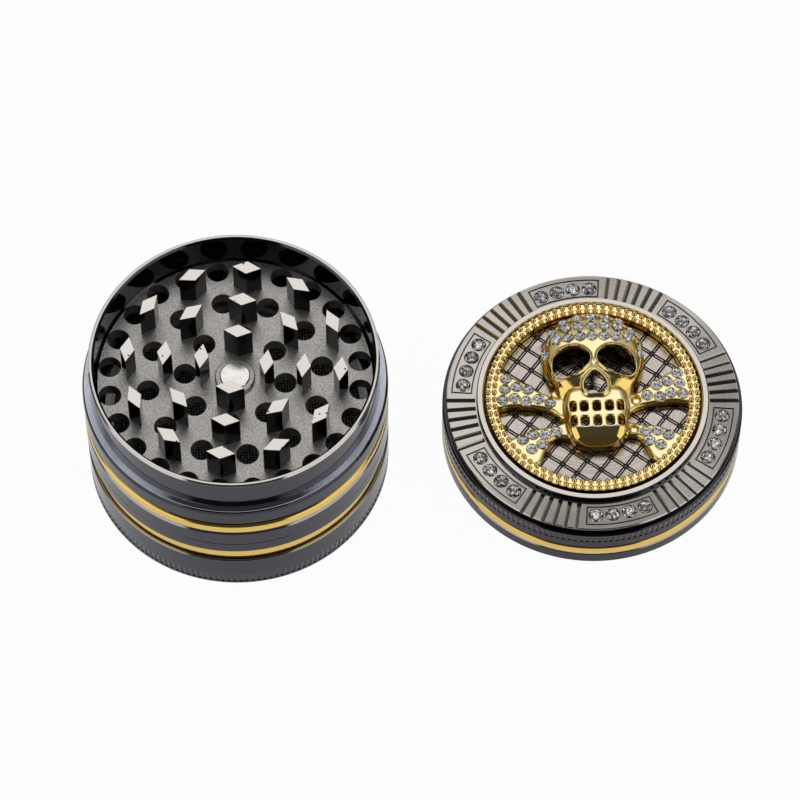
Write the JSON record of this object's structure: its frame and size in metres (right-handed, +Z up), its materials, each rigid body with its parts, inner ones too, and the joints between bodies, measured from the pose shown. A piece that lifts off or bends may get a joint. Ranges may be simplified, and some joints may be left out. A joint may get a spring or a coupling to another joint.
{
  "type": "hand herb grinder",
  "caption": "Round metal hand herb grinder of screwed layers, opened, with a toothed and holed chamber, gold bands and a loose lid that carries a gold skull medallion with clear stones.",
  "frame": {"origin": "centre of the catch cup's flat base", "axes": "+Z up along the body's axis, +X from the body's axis to the axis of the lid lying beside it"},
  "size_m": [0.1375, 0.063, 0.0391],
  "materials": {
    "gunmetal": "glossy dark plating",
    "blasted_metal": "sand-blasted grey plating",
    "tooth_metal": "glossy dark plating, flat tops ground bright",
    "band_gold": "satin gold plating",
    "screen_wire": "woven fine wire",
    "steel": "plain turned",
    "magnet_nickel": "bright nickel plating",
    "nylon": "natural nylon",
    "bezel_metal": "polished gunmetal plating",
    "lattice_metal": "polished gunmetal plating, cut lattice",
    "medallion_gold": "bright gold plating",
    "bush_brass": "turned brass",
    "clear_stone": "faceted clear rhinestone"
  },
  "bodies": {
    "catch_cup": {"catch_cup": "gunmetal"},
    "lower_band": {"lower_gold_band": "band_gold"},
    "sieve": {"sieve_ring": "gunmetal", "sieve_screen": "screen_wire", "screen_retaining_ring": "steel"},
    "upper_band": {"upper_gold_band": "band_gold"},
    "chamber": {"grinding_chamber": "gunmetal", "chamber_floor": "blasted_metal", "chamber_teeth": "tooth_metal", "chamber_magnet": "magnet_nickel"},
    "slip_ring": {"lid_slip_ring": "nylon"},
    "lid": {"lid_cap": "gunmetal", "lid_teeth": "tooth_metal", "lid_magnet": "magnet_nickel", "lid_gold_band": "band_gold", "lid_bezel": "bezel_metal", "bezel_stones": "clear_stone", "lattice_plate": "lattice_metal", "medallion_pivot": "steel", "pivot_clip": "steel"},
    "medallion": {"medallion": "medallion_gold", "pivot_bush": "bush_brass", "skull_stones": "clear_stone", "bone_stones": "clear_stone"}
  },
  "joints": [
    {"name": "sieve_rise", "type": "slide", "parent": "catch_cup", "child": "lower_band", "axis": [0, 0, 1], "range_m": [0, 0.0034]},
    {"name": "sieve_unscrew", "type": "hinge", "parent": "lower_band", "child": "sieve", "pos_m": [0, 0, 0.012], "axis": [0, 0, 1], "range_deg": [0, 810]},
    {"name": "chamber_rise", "type": "slide", "parent": "sieve", "child": "upper_band", "axis": [0, 0, 1], "range_m": [0, 0.0034]},
    {"name": "chamber_unscrew", "type": "hinge", "parent": "upper_band", "child": "chamber", "pos_m": [0, 0, 0.024], "axis": [0, 0, 1], "range_deg": [0, 810]},
    {"name": "lid_lift", "type": "slide", "parent": "catch_cup", "child": "slip_ring", "axis": [0, 0, 1], "range_m": [0, 0.06]},
    {"name": "lid_turn", "type": "hinge", "parent": "slip_ring", "child": "lid", "pos_m": [0.07447, 0, 0.006], "axis": [0, 0, 1], "continuous": true},
    {"name": "medallion_spin", "type": "hinge", "parent": "lid", "child": "medallion", "pos_m": [0.07447, 0, 0.0137], "axis": [0, 0, 1], "continuous": true}
  ],
  "couplings": [
    {"joint": "sieve_rise", "follows": "sieve_unscrew", "m_per_rad": 0.00023873},
    {"joint": "chamber_rise", "follows": "chamber_unscrew", "m_per_rad": 0.00023873}
  ]
}
